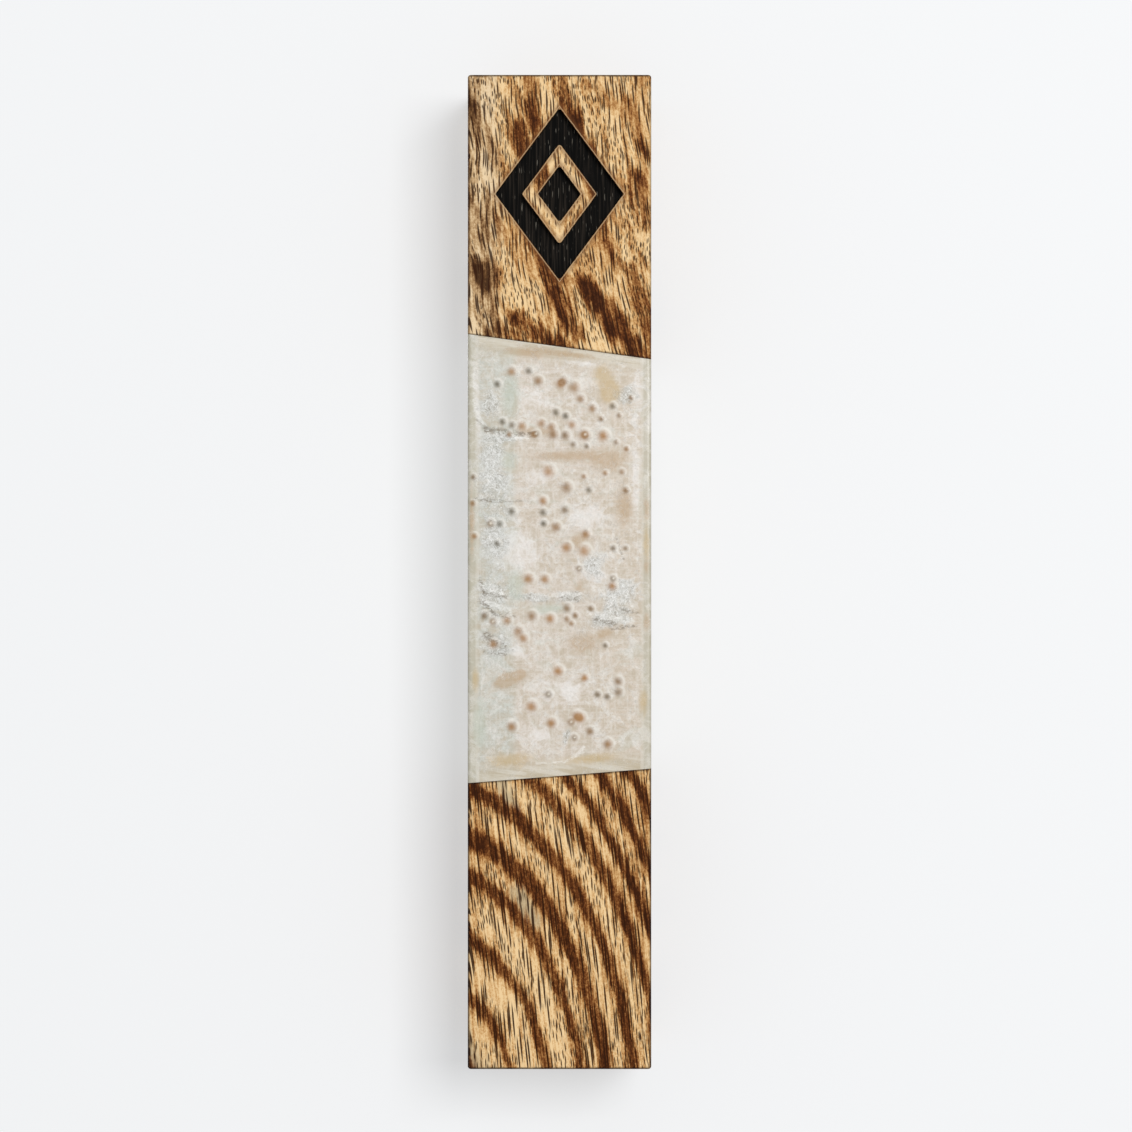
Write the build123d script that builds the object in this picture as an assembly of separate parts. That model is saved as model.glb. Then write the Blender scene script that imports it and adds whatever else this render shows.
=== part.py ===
"""Mezuzah case: a bar of wood, cast resin and wood, with a scroll channel behind it and a sliding back slat.

The case stands upright as it hangs on a doorpost. +Z points up along the case, the front faces -Y, and +X is
to the right as seen from the front. The origin is the middle of the plane that meets the doorpost.
"""
import os
from math import hypot, pi

from build123d import *

# Walls of the bar round the scroll channel, in millimetres
front_wall = 3.9
side_wall = 5.95
end_wall = 9.75
long_edge_radius = 0.5
end_edge_radius = 0.35

# Lengths of the wood blocks along the left edge and the right edge; the resin fills what is between them
upper_wood_left = 33.9
upper_wood_right = 37.2
lower_wood_left = 37.4
lower_wood_right = 39.3

# Foam strips and their liners, on the back
foam_thickness = 1.0
foam_edge_margin = 0.6
foam_end_margin = 5.0
liner_thickness = 0.1
liner_tab = 2.5

# Scroll and the film sleeve round it
scroll_length = 100.0
sheet_length = 96.0
parchment_thickness = 0.3
scroll_core_radius = 2.0
scroll_diameter = 9.8
sleeve_gap = 0.15
sleeve_thickness = 0.2
sleeve_overhang = 0.5

# Channel that the scroll lies in
channel_side_gap = 0.8
channel_depth_gap = 0.5
end_gap = 0.2
scroll_play = 3.0

# Back slat and its dovetail groove
slat_thickness = 2.4
slat_flank_lean = 1.2
slat_shoulder = 2.4
slat_side_gap = 0.15
slat_face_gap = 0.1
slat_stop_margin = 3.4
slat_top_inset = 0.3
slat_edge_radius = 0.25
nail_notch_width = 9.0
nail_notch_depth = 0.9
nail_notch_rise = 3.0
nail_notch_from_top = 9.0

# Engraved lozenge in the upper block
mark_width = 16.8
mark_height = 22.6
mark_line = 2.8
mark_gap = 1.7
mark_depth = 1.2
mark_from_top = 4.3
mark_corner_radius = 0.35

# Scroll and channel, worked out from the sizes above; y grows towards the doorpost, which is at y = 0
back_y = -(foam_thickness + liner_thickness)
sleeve_bore_radius = scroll_diameter / 2 + sleeve_gap
sleeve_radius = sleeve_bore_radius + sleeve_thickness
sleeve_length = scroll_length + 2 * sleeve_overhang

groove_depth = slat_thickness + 2 * slat_face_gap
channel_width = 2 * (sleeve_radius + channel_side_gap)
channel_floor_y = back_y - groove_depth - 2 * (sleeve_radius + channel_depth_gap)
channel_end_radius = channel_width / 2
# a router leaves round ends, so the sleeve's corners meet each end this far inside it
end_sagitta = channel_end_radius - (channel_end_radius**2 - sleeve_radius**2) ** 0.5
channel_length = sleeve_length + scroll_play + 2 * (end_gap + end_sagitta)
channel_bottom_z = -channel_length / 2
scroll_axis_y = (channel_floor_y + back_y - groove_depth) / 2
sleeve_bottom_z = channel_bottom_z + end_sagitta + end_gap

# The bar round them
case_length = channel_length + 2 * end_wall
case_width = channel_width + 2 * side_wall
front_y = channel_floor_y - front_wall
case_depth = back_y - front_y
half_width = case_width / 2
half_length = case_length / 2

slat_inner_width = channel_width + 2 * slat_shoulder
slat_outer_width = slat_inner_width - 2 * slat_flank_lean
slat_outer_y = back_y - slat_face_gap
slat_inner_y = slat_outer_y - slat_thickness
groove_stop_z = channel_bottom_z - slat_stop_margin
slat_bottom_z = groove_stop_z + end_gap / 2
slat_top_z = half_length - slat_top_inset


def upright_prism(outline, bottom_z, top_z):
    """A closed outline of (x, y) points raised from bottom_z to top_z."""
    face = make_face(Polyline(*outline, close=True))
    return Pos(0, 0, bottom_z) * extrude(face, top_z - bottom_z, dir=(0, 0, 1))


def front_plane(y):
    """A sketch plane across the case at y, with its x to the right and its y up, seen from the front."""
    return Plane(origin=(0, y, 0), x_dir=(1, 0, 0), z_dir=(0, -1, 0))


def dovetail(inner_width, outer_width, inner_y, outer_y, bottom_z, top_z):
    """A bar that is widest on its inner face, so that lips hold it in from behind."""
    inner, outer = inner_width / 2, outer_width / 2
    outline = [(-inner, inner_y), (inner, inner_y), (outer, outer_y), (-outer, outer_y)]
    return upright_prism(outline, bottom_z, top_z)


def lozenge(width, height):
    """A flat lozenge on its points, centred on the origin."""
    return make_face(
        Polyline((width / 2, 0), (0, height / 2), (-width / 2, 0), (0, -height / 2), close=True)
    )


def engraving():
    """The cutter for the mark: a lozenge ring of even line width round a smaller solid lozenge."""
    side_distance = mark_width * mark_height / 2 / hypot(mark_width, mark_height)
    inside = 1 - mark_line / side_distance
    centre = 1 - (mark_line + mark_gap) / side_distance
    ring = lozenge(mark_width, mark_height) - lozenge(mark_width * inside, mark_height * inside)
    mark = ring + lozenge(mark_width * centre, mark_height * centre)
    mark = fillet(mark.vertices(), mark_corner_radius)
    middle_z = half_length - mark_from_top - mark_height / 2
    over = mark_depth
    placed = front_plane(front_y - over) * Pos(0, middle_z) * mark
    return extrude(placed, -(mark_depth + over))


def bar():
    """The whole case before it is parted at the glue lines: eased edges, channel and dovetail groove."""
    middle_y = (front_y + back_y) / 2
    block = Pos(0, middle_y, 0) * Box(case_width, case_depth, case_length)
    block = fillet(block.edges().filter_by(Axis.Z), long_edge_radius)
    block = fillet(block.faces().sort_by(Axis.Z)[0].edges(), end_edge_radius)
    block = fillet(block.faces().sort_by(Axis.Z)[-1].edges(), end_edge_radius)
    slot = front_plane(channel_floor_y) * SlotOverall(channel_length, channel_width, rotation=90)
    channel = extrude(slot, -(back_y - channel_floor_y + case_depth / 2))
    groove = groove_cutter(back_y - groove_depth, back_y + groove_depth)
    return block - channel - groove


def groove_cutter(inner_y, outer_y):
    """The dovetail cutter, run on past the back face and out of the top end along its own flanks."""
    lean = slat_flank_lean / slat_thickness
    inner = slat_inner_width + 2 * slat_side_gap + 2 * lean * slat_face_gap
    outer = inner - 2 * lean * (outer_y - inner_y)
    return dovetail(inner, outer, inner_y, outer_y, groove_stop_z, case_length)


def seam_wedge(left_z, right_z, far_z):
    """Everything between a slanting glue line and far_z, over the case's whole width and depth."""
    reach = case_width
    slope = (right_z - left_z) / case_width
    middle_z = (left_z + right_z) / 2
    left, right = middle_z - slope * reach, middle_z + slope * reach
    outline = Polyline((-reach, left), (reach, right), (reach, far_z), (-reach, far_z), close=True)
    face = front_plane(front_y - case_depth) * make_face(outline)
    return extrude(face, -3 * case_depth)


def case_blocks():
    """The bar parted into upper wood, resin and lower wood, which meet face to face at the glue lines."""
    whole = bar()
    above = seam_wedge(half_length - upper_wood_left, half_length - upper_wood_right, case_length)
    below = seam_wedge(lower_wood_left - half_length, lower_wood_right - half_length, -case_length)
    upper = (whole & above) - engraving()
    lower = whole & below
    middle = whole - above - below
    return {"upper_wood_block": upper, "resin_block": middle, "lower_wood_block": lower}


def back_slat():
    """The sliding slat, with a nail notch near its top on the outer face."""
    slat = dovetail(
        slat_inner_width, slat_outer_width, slat_inner_y, slat_outer_y, slat_bottom_z, slat_top_z
    )
    slat = fillet(slat.faces().sort_by(Axis.Z)[-1].edges().filter_by(Axis.X), slat_edge_radius)
    # the notch is a steep wall at its top and a slope below it, as a gouge leaves it
    notch_top = slat_top_z - nail_notch_from_top
    profile = Polyline(
        (slat_outer_y + nail_notch_depth, notch_top + nail_notch_depth),
        (slat_outer_y - nail_notch_depth, notch_top),
        (slat_outer_y + nail_notch_depth, notch_top - 2 * nail_notch_rise),
        close=True,
    )
    side = Plane(origin=(-nail_notch_width / 2, 0, 0), x_dir=(0, 1, 0), z_dir=(1, 0, 0))
    return slat - extrude(side * make_face(profile), nail_notch_width)


def parchment_scroll():
    """The rolled sheet: half-turn arcs about two centres, so the wall keeps its thickness as it spirals out."""
    outer_radius = scroll_diameter / 2
    mean_radius = (outer_radius + scroll_core_radius) / 2
    half_turns = round(sheet_length / (pi * mean_radius))
    step = (outer_radius - parchment_thickness - scroll_core_radius) / (half_turns - 1)
    arcs = []
    for turn in range(half_turns):
        side = 1 if turn % 2 == 0 else -1
        inner = scroll_core_radius + step * turn
        outer = inner + parchment_thickness
        # the last half turn holds all the others, so its centre is the scroll's axis
        centre = 0 if (half_turns - 1 - turn) % 2 == 0 else -side * step
        start = 0 if side == 1 else 180
        half_ring = make_face(
            [
                CenterArc((centre, 0), inner, start, 180),
                Line((centre - side * inner, 0), (centre - side * outer, 0)),
                CenterArc((centre, 0), outer, start, 180),
                Line((centre + side * outer, 0), (centre + side * inner, 0)),
            ]
        )
        arcs.append(half_ring)
    section = arcs[0]
    for half_ring in arcs[1:]:
        section += half_ring
    bottom_z = sleeve_bottom_z + sleeve_overhang
    return Pos(0, scroll_axis_y, bottom_z) * extrude(section, scroll_length, dir=(0, 0, 1))


def scroll_sleeve():
    """The clear film tube, a little longer than the scroll and open at both ends."""
    wall = Circle(sleeve_radius) - Circle(sleeve_bore_radius)
    return Pos(0, scroll_axis_y, sleeve_bottom_z) * extrude(wall, sleeve_length, dir=(0, 0, 1))


def tape(side):
    """One foam strip on a rail of the back, and its liner with a pull tab at the lower end; side is -1 or 1."""
    rail_inner = slat_outer_width / 2 + slat_side_gap + foam_edge_margin
    rail_outer = half_width - foam_edge_margin
    width = rail_outer - rail_inner
    middle_x = side * (rail_inner + rail_outer) / 2
    top_z = half_length - foam_end_margin
    foam_length = case_length - 2 * foam_end_margin
    foam = Pos(middle_x, back_y + foam_thickness / 2, 0) * Box(width, foam_thickness, foam_length)
    liner_length = foam_length + liner_tab
    liner = Pos(middle_x, -liner_thickness / 2, top_z - liner_length / 2) * Box(
        width, liner_thickness, liner_length
    )
    return foam, liner


def all_pieces():
    """Every piece of the case, by the name of its node."""
    pieces = case_blocks()
    pieces["back_slat"] = back_slat()
    pieces["parchment_scroll"] = parchment_scroll()
    pieces["scroll_sleeve"] = scroll_sleeve()
    for name, side in (("left", -1), ("right", 1)):
        foam, liner = tape(side)
        pieces[f"foam_strip_{name}"] = foam
        pieces[f"strip_liner_{name}"] = liner
    return pieces


os.makedirs("parts", exist_ok=True)
for node, piece in all_pieces().items():
    export_step(piece, f"parts/{node}.step")
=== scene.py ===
"""The looks of a mezuzah case: a bar of figured wood and pearl resin, shut behind by a sliding slat.

Every piece is in metres in the case's own frame: +Z up along the case, the front facing -Y, +X to the right.
"""
import math

import bpy
import numpy as np
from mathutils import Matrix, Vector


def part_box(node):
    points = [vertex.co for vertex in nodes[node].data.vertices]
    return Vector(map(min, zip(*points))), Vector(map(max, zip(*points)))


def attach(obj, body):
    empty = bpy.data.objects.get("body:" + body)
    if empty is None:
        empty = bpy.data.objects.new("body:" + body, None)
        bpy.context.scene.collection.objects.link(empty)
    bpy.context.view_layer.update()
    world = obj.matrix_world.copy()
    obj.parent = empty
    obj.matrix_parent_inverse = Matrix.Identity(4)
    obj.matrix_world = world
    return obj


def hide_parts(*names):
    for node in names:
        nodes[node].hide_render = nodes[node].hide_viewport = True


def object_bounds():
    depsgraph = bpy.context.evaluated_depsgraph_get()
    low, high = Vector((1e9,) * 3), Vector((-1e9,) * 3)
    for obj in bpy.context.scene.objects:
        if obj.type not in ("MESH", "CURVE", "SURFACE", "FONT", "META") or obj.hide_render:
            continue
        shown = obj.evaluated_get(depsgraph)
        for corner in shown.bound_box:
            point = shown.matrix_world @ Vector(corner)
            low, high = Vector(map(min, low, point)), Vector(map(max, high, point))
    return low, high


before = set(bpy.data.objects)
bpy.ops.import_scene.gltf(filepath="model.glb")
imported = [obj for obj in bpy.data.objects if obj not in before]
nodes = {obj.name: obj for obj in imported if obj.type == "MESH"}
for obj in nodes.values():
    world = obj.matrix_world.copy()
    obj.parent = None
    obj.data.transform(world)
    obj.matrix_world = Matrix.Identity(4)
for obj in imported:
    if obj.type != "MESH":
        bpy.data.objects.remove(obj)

cad_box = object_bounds()
scene = bpy.context.scene
MM = 0.001

# Places of the case's own faces, read from the frame, in millimetres
upper_low, upper_high = (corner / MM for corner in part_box("upper_wood_block"))
resin_low, resin_high = (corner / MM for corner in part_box("resin_block"))
lower_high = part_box("lower_wood_block")[1] / MM
front_y = upper_low.y
back_y = upper_high.y
half_width = upper_high.x
half_length = upper_high.z

# Heights of the two glue lines at the left edge and at the right edge
upper_seam = (resin_high.z, upper_low.z)
lower_seam = (resin_low.z, lower_high.z)


# ---------------------------------------------------------------- shader bench

class Value:
    """A number that changes over a surface. Arithmetic on it adds Math nodes to its bench."""

    def __init__(self, bench, socket):
        self.bench = bench
        self.socket = socket

    def __add__(self, other):
        return self.bench.maths("ADD", self, other)

    def __sub__(self, other):
        return self.bench.maths("SUBTRACT", self, other)

    def __rsub__(self, other):
        return self.bench.maths("SUBTRACT", other, self)

    def __mul__(self, other):
        return self.bench.maths("MULTIPLY", self, other)

    def __truediv__(self, other):
        return self.bench.maths("DIVIDE", self, other)

    def __pow__(self, other):
        return self.bench.maths("POWER", self, other)

    def __abs__(self):
        return self.bench.maths("ABSOLUTE", self)

    __radd__ = __add__
    __rmul__ = __mul__


class Bench:
    """One material's node tree, with the place on the piece in millimetres as x, y and z."""

    def __init__(self, name):
        self.material = bpy.data.materials.new(name)
        self.material.use_nodes = True
        self.tree = self.material.node_tree
        self.tree.nodes.clear()
        place = self.node("ShaderNodeTexCoord").outputs["Object"]
        scaled = self.node("ShaderNodeVectorMath", {"operation": "SCALE"}, {0: place, "Scale": 1 / MM})
        self.place = scaled.outputs[0]
        parts = self.node("ShaderNodeSeparateXYZ", inputs={0: self.place})
        self.x, self.y, self.z = (Value(self, socket) for socket in parts.outputs)

    def node(self, kind, settings=None, inputs=None):
        """Adds a node, sets its settings first, then gives its sockets their values or links."""
        made = self.tree.nodes.new(kind)
        for key, setting in (settings or {}).items():
            if key == "stops":
                for stop, (position, colour) in enumerate(setting):
                    ramp = made.color_ramp.elements
                    point = ramp[stop] if stop < len(ramp) else ramp.new(position)
                    point.position = position
                    point.color = colour
            else:
                setattr(made, key, setting)
        for key, given in (inputs or {}).items():
            source = given.socket if isinstance(given, Value) else given
            if isinstance(source, bpy.types.NodeSocket):
                self.tree.links.new(source, made.inputs[key])
            else:
                made.inputs[key].default_value = source
        return made

    def maths(self, operation, *operands):
        """A Math node's answer as a Value."""
        made = self.node("ShaderNodeMath", {"operation": operation}, dict(enumerate(operands)))
        return Value(self, made.outputs[0])

    def ease(self, value, start, end, low=0.0, high=1.0):
        """A smooth step of value, from low at start to high at end."""
        if start > end:
            start, end, low, high = end, start, high, low
        made = self.node(
            "ShaderNodeMapRange",
            {"interpolation_type": "SMOOTHSTEP"},
            {"Value": value, "From Min": start, "From Max": end, "To Min": low, "To Max": high},
        )
        return Value(self, made.outputs["Result"])

    def point(self, x, y, z):
        """A vector of three values."""
        return self.node("ShaderNodeCombineXYZ", inputs={0: x, 1: y, 2: z}).outputs[0]

    def noise(self, place, scale=1.0, detail=2.0, roughness=0.5, distortion=0.0):
        """Cloudy noise about 0.5 at a place that is already in cycles."""
        inputs = {"Vector": place, "Scale": scale, "Detail": detail, "Roughness": roughness}
        made = self.node(
            "ShaderNodeTexNoise", {"noise_dimensions": "3D"}, {**inputs, "Distortion": distortion}
        )
        return Value(self, made.outputs[0])

    def cloudy(self, across, through, along, shift=0.0, **settings):
        """Cloudy noise with its own cycles per millimetre along x, y and z. shift moves it in cycles of z."""
        height = self.z * along + shift if shift else self.z * along
        return self.noise(self.point(self.x * across, self.y * through, height), **settings)

    def cells(self, place, dimensions="3D"):
        """The distance to the nearest of some scattered points, one in each unit of a place in cycles."""
        made = self.node(
            "ShaderNodeTexVoronoi", {"voronoi_dimensions": dimensions}, {"Vector": place, "Scale": 1.0}
        )
        return Value(self, made.outputs["Distance"])

    def attribute(self, name):
        """A number that the piece's own mesh carries."""
        return Value(self, self.node("ShaderNodeAttribute", {"attribute_name": name}).outputs["Fac"])

    def blend(self, share, first, second, kind="MIX"):
        """Two colours mixed, the second by share."""
        made = self.node(
            "ShaderNodeMix",
            {"data_type": "RGBA", "blend_type": kind, "clamp_factor": True},
            {0: share, 6: first, 7: second},
        )
        return made.outputs[2]

    def ramp(self, value, *stops):
        """A colour read off a run of stops, each a pair of place along the run and colour."""
        return self.node("ShaderNodeValToRGB", {"stops": stops}, {0: value}).outputs[0]

    def layers(self, base, *coats):
        """A colour with further colours laid over it, each a pair of share and colour."""
        for share, colour in coats:
            base = self.blend(share, base, colour)
        return base

    def finish(self, colour, roughness, height=None, relief=0.0, **constants):
        """Ends the material in one Principled shader. relief is the bump's depth in millimetres."""
        inputs = {"Base Color": colour, "Roughness": roughness}
        inputs.update({key.replace("_", " "): value for key, value in constants.items()})
        if height is not None:
            bump = self.node(
                "ShaderNodeBump", inputs={"Strength": 1.0, "Distance": relief * MM, "Height": height}
            )
            inputs["Normal"] = bump.outputs[0]
        shader = self.node("ShaderNodeBsdfPrincipled", inputs=inputs)
        self.node("ShaderNodeOutputMaterial", inputs={"Surface": shader.outputs[0]})
        return self.material


def tone(red, green, blue):
    """A colour as seen on a screen, 0 to 255, turned into the linear values that shaders take."""
    def linear(value):
        share = value / 255
        return share / 12.92 if share <= 0.04045 else ((share + 0.055) / 1.055) ** 2.4
    return (linear(red), linear(green), linear(blue), 1.0)


# ---------------------------------------------------------------- wood

# Tones that both blocks run through, from the palest early wood to the darkest figure
wood_tones = (
    (0.0, tone(246, 212, 160)),
    (0.26, tone(217, 172, 114)),
    (0.48, tone(175, 122, 68)),
    (0.72, tone(112, 62, 25)),
    (1.0, tone(60, 27, 6)),
)

# The same run of tones where the upper block is sapwood, greyer and paler in its darks
sapwood_tones = (
    (0.0, tone(236, 212, 176)),
    (0.26, tone(204, 176, 136)),
    (0.48, tone(164, 134, 96)),
    (0.72, tone(112, 82, 50)),
    (1.0, tone(74, 50, 28)),
)


def fibres(bench, across, along, pore_run):
    """What both woods share: long fibres, dark pore dashes and a fine fleck, as three values.

    across and along are places in millimetres across and along the grain, so a board whose grain wanders
    passes places that wander with it. A pore is a drawn-out cell's middle: pore_run is cells per millimetre
    along the grain, so a smaller one gives longer dashes. On a sawn end the pores are round dots.
    """
    depth = bench.y
    thread = bench.noise(bench.point(across * 2.4, depth * 2.2, along * 0.08), detail=4.5, roughness=0.68)
    crowd = bench.noise(bench.point(across * 0.35, depth * 0.35, along * 0.14), detail=2.0)
    round_bar = across + depth
    long_pore = bench.cells(bench.point(round_bar * 2.5, along * pore_run, 0.0), "2D")
    short_pore = bench.cells(bench.point(round_bar * 3.4, along * pore_run * 3.4 + 20.0, 0.0), "2D")
    pore = bench.maths(
        "MAXIMUM",
        bench.ease(long_pore, 0.2, 0.34, 1.0, 0.0) * bench.ease(crowd, 0.38, 0.5, 0.15, 1.0),
        bench.ease(short_pore, 0.18, 0.31, 1.0, 0.0) * bench.ease(crowd, 0.54, 0.46),
    )
    dot = bench.ease(bench.cells(bench.point(bench.x * 2.2, depth * 2.2, 0.0), "2D"), 0.12, 0.26, 0.8, 0.0)
    sawn_end = bench.ease(abs(bench.z), half_length - 0.3, half_length - 0.1)
    pore = pore + sawn_end * (dot - pore)
    fleck = bench.noise(bench.point(across * 4.6, depth * 4.0, along * 3.0), detail=2.5, roughness=0.75)
    return thread, pore, fleck


def seam_height(bench, seam):
    """The height of a slanting glue line at this x; seam is its height at the left and at the right edge."""
    left, right = seam
    return bench.x * ((right - left) / (2 * half_width)) + (left + right) / 2


def edge_darkening(bench, end_z, seam, edge_share):
    """How much darker a block is at its edges: its end, its glue line and its long edges.

    inward is how far a place lies in from the long faces: it keeps the darkening to the rim of the end face.
    """
    wander = bench.cloudy(0.9, 0.9, 0.9, detail=3.0)
    inward = bench.maths(
        "MINIMUM", half_width - abs(bench.x), bench.maths("MINIMUM", bench.y - front_y, back_y - bench.y)
    )
    end_gap = abs(bench.z - end_z)
    rim_gap = bench.maths("MAXIMUM", end_gap, inward) + wander * 0.24 - 0.12
    rim = bench.ease(rim_gap, 0.1, 0.42, 0.85, 0.0)
    end = bench.maths("MAXIMUM", rim, bench.ease(end_gap, 0.05, 0.2, 0.3, 0.0))
    joint_gap = abs(bench.z - seam_height(bench, seam)) + wander * 0.3 - 0.15
    joint = bench.ease(joint_gap, 0.0, 0.34, 0.8, 0.0)
    side_gap = half_width - abs(bench.x) + wander * 0.3 - 0.15
    on_front = bench.ease(bench.y, front_y + 1.2, front_y + 0.2)
    side = bench.ease(side_gap, 0.04, 0.4, edge_share, 0.0) * on_front
    return bench.maths("MAXIMUM", bench.maths("MAXIMUM", end, joint), side)


def stroke(bench, place_x, place_z, start, end, width):
    """A dark lick of figure: 1 on the line from start to end, easing to 0 past its half width.

    The nearest point of the line is found by dropping the place onto it and stopping at its ends.
    """
    (x0, z0), (x1, z1) = start, end
    length_squared = (x1 - x0) ** 2 + (z1 - z0) ** 2
    share = ((place_x - x0) * (x1 - x0) + (place_z - z0) * (z1 - z0)) / length_squared
    share = bench.ease(share, -0.15, 1.15)
    off_x = place_x - x0 - share * (x1 - x0)
    off_z = place_z - z0 - share * (z1 - z0)
    off = (off_x * off_x + off_z * off_z) ** 0.5
    return bench.ease(off, width * 0.3, width * 1.75, 1.0, 0.0)


# Licks of dark figure on the upper block: start, end, half width and strength, in millimetres of x and z
upper_licks = [
    ((-4.2, 64.8), (-3.0, 58.4), 0.9, 0.8),
    ((-4.6, 57.4), (-2.2, 50.6), 1.2, 0.9),
    ((-4.4, 46.5), (-2.0, 40.0), 1.2, 0.6),
    ((0.2, 65.0), (1.4, 60.6), 0.9, 0.8),
    ((1.9, 59.4), (5.4, 49.0), 1.1, 1.0),
    ((3.4, 64.0), (9.3, 59.4), 0.9, 0.5),
    ((8.6, 62.0), (11.2, 54.5), 0.9, 0.7),
    ((10.0, 52.0), (11.6, 45.0), 0.9, 0.75),
    ((5.6, 45.5), (8.0, 40.0), 0.9, 0.5),
    ((-12.2, 62.0), (-11.6, 48.0), 0.6, 0.55),
    ((-12.4, 39.2), (-9.0, 38.6), 1.7, 0.95),
    ((-2.6, 38.6), (3.5, 38.4), 0.7, 0.6),
    ((-1.4, 37.0), (2.4, 30.8), 1.0, 0.85),
    ((-5.4, 33.4), (-0.2, 29.3), 1.2, 0.9),
    ((3.0, 38.0), (7.0, 32.4), 1.0, 1.0),
    ((6.6, 33.0), (10.8, 28.0), 1.25, 1.0),
    ((9.4, 40.0), (11.8, 30.4), 1.0, 0.9),
    ((-8.6, 31.4), (-5.0, 30.6), 0.8, 0.6),
]
# The mark that is burnt into the upper block: its width and height, the width of its line and of its gap
mark_size = (16.8, 22.6)
mark_line = 2.8
mark_gap = 1.7
mark_middle_z = half_length - 4.3 - mark_size[1] / 2


def lozenge_reach(bench):
    """How far a place is from the middle of the engraved lozenge, measured square to the lozenge's sides."""
    half_x, half_z = mark_size[0] / 2, mark_size[1] / 2
    side = half_x * half_z / math.hypot(half_x, half_z)
    return (abs(bench.x) / half_x + abs(bench.z - mark_middle_z) / half_z) * side, side


def upper_wood():
    """Golden wood with dark flame figure, a greyer strip of sapwood on the left and a charred engraving."""
    b = Bench("upper_wood_oiled")
    low = b.maths("MAXIMUM", 48.0 - b.z, 0.0)
    sway = b.cloudy(0.1, 0.08, 0.08, detail=1.5) * 3.0
    across = b.x + (b.z - half_length) * 0.06 - low * low * 0.004 + sway
    thread, pore, fleck = fibres(b, across, b.z, 0.2)

    warp_x = b.noise(b.point(across * 0.9, b.y * 0.4, b.z * 0.14 + 3.0), detail=4.0, roughness=0.62) - 0.5
    warp_z = b.noise(b.point(across * 0.7, b.y * 0.3, b.z * 0.3 + 9.0), detail=3.0) - 0.5
    depth = b.y - front_y
    place_x = b.x * (1 - depth * 0.035) + warp_x * 3.8
    place_z = b.z + depth * 0.9 + warp_z * 4.0
    licks = None
    for start, end, width, strength in upper_licks:
        lick = stroke(b, place_x, place_z, start, end, width) * strength
        licks = lick if licks is None else b.maths("MAXIMUM", licks, lick)
    lean = math.radians(24)
    over = b.x * math.cos(lean) + b.z * math.sin(lean)
    flame = b.noise(b.point(over * 0.5, b.y * 0.3, (b.z + warp_z * 4.0) * 0.1), detail=3.0, roughness=0.6)
    sapwood = b.ease(b.x + warp_x * 3.0, -9.2, -7.0, 1.0, 0.0)
    lined = b.cloudy(1.9, 1.6, 0.05, shift=5.0, detail=3.0, roughness=0.6)
    figure = (
        licks * 0.62
        + b.ease(flame, 0.42, 0.64, 0.0, 0.38)
        + (thread - 0.5) * 1.5
        + (fleck - 0.5) * 1.0
        + sapwood * b.ease(lined, 0.46, 0.6, -0.02, 0.3)
        + 0.05
    )
    wood = b.ramp(figure, *wood_tones)
    wood = b.blend(sapwood * 0.7, wood, b.ramp(figure, *sapwood_tones))
    wood = b.layers(
        wood,
        (pore * 0.92, tone(52, 23, 5)),
        (edge_darkening(b, half_length, upper_seam, 0.4), tone(40, 24, 14)),
    )

    reach, side = lozenge_reach(b)
    reach = reach + (b.cloudy(5.0, 1.0, 1.6, detail=2.0) - 0.5) * 0.14
    ring_in, core_out = side - mark_line, side - mark_line - mark_gap
    outside_gap = b.maths("MAXIMUM", reach - side, 0.0)
    between_gap = b.maths("MAXIMUM", b.maths("MINIMUM", ring_in - reach, reach - core_out), 0.0)
    gap = b.maths("MAXIMUM", outside_gap, between_gap)
    halo = b.ease(gap, 0.1, 0.8, 0.6, 0.0)
    # A painted highlight: a thin pale line just outside the engraving's edges
    rim = b.ease(gap, 0.02, 0.08) * b.ease(gap, 0.1, 0.2, 1.0, 0.0)
    surface = b.layers(wood, (halo, tone(110, 66, 34)), (rim * 0.7, tone(206, 176, 134)))

    near_mark = b.ease(reach, side + 0.6, side + 0.4)
    sunk = b.ease(b.y, front_y + 0.05, front_y + 0.22) * b.ease(b.y, front_y + 1.6, front_y + 1.4) * near_mark
    ridge = b.cloudy(3.6, 1.0, 0.1, detail=2.5, roughness=0.6)
    # Painted highlights: a few pale flecks on the charred floor of the engraving
    char_glint_highlight = b.cloudy(5.0, 1.0, 0.6, shift=40.0, detail=1.0)
    char = b.blend(b.ease(ridge, 0.45, 0.7), tone(8, 7, 6), tone(44, 38, 32))
    char = b.blend(b.ease(char_glint_highlight, 0.66, 0.74) * 0.6, char, tone(132, 126, 114))
    colour = b.blend(sunk, surface, char)
    roughness = sunk * 0.12 + 0.5 + (thread - 0.5) * 0.2
    height = sunk * ridge * 3.0 + (1 - sunk) * (thread * 0.6 - pore)
    return b.finish(colour, roughness, height, 0.016, Specular_IOR_Level=0.05)


# Growth rings that cross the lower block: distance from the heart, half width and strength
ring_bands = [
    (9.5, 1.3, 0.9),
    (16.6, 1.3, 0.9),
    (23.8, 1.25, 0.85),
    (30.9, 1.4, 0.9),
    (38.2, 1.6, 0.95),
    (43.3, 2.1, 1.05),
    (49.2, 1.6, 1.0),
    (55.1, 1.6, 0.9),
    (59.3, 1.3, 0.95),
    (63.8, 1.5, 0.95),
    (68.4, 1.4, 0.9),
    (73.2, 1.5, 0.9),
    (78.2, 1.5, 0.9),
]


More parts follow.
